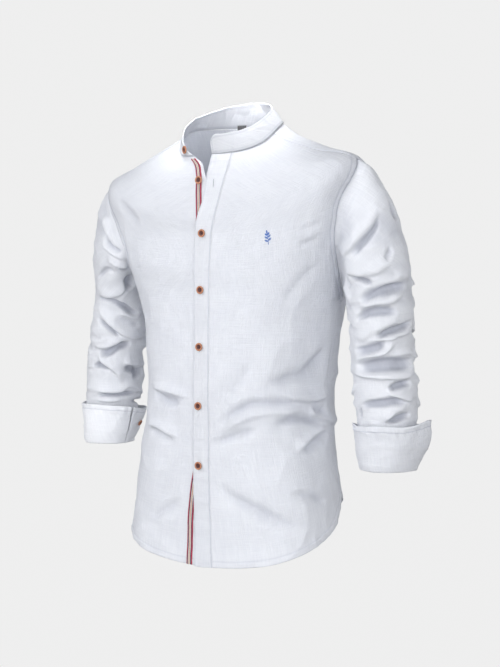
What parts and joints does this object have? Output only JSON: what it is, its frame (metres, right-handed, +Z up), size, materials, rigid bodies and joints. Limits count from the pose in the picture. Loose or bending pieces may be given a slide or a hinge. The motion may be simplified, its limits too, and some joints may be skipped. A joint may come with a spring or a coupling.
{
  "type": "mandarin collar shirt",
  "caption": "Long-sleeved shirt with a band collar, buttoned front, turned-back cuffs and a curved hem, standing hollow as it is worn.",
  "frame": {"origin": "middle of the neck opening at the height of the neck points, where the wearer's neck and shoulders hold the shirt up", "axes": "+Z up, +X towards the wearer's left, -Y towards the front"},
  "size_m": [0.6467, 0.2619, 0.7399],
  "materials": {
    "shirt_cloth": "white linen and cotton plain weave with slubs",
    "striped_tape": "ribbed tape in lengthwise stripes",
    "label_cloth": "plain woven",
    "button": "turned and stained, with a raised rim"
  },
  "bodies": {
    "root": {"front_left": "shirt_cloth", "front_right": "shirt_cloth", "back": "shirt_cloth", "sleeve_left": "shirt_cloth", "sleeve_right": "shirt_cloth", "cuff_left": "shirt_cloth", "cuff_right": "shirt_cloth", "collar": "shirt_cloth", "placket": "shirt_cloth", "button_tape": "striped_tape", "neck_label": "label_cloth", "button_1": "button", "button_2": "button", "button_3": "button", "button_4": "button", "button_5": "button", "button_6": "button", "button_7": "button", "cuff_button_left": "button", "cuff_button_right": "button"}
  },
  "joints": []
}
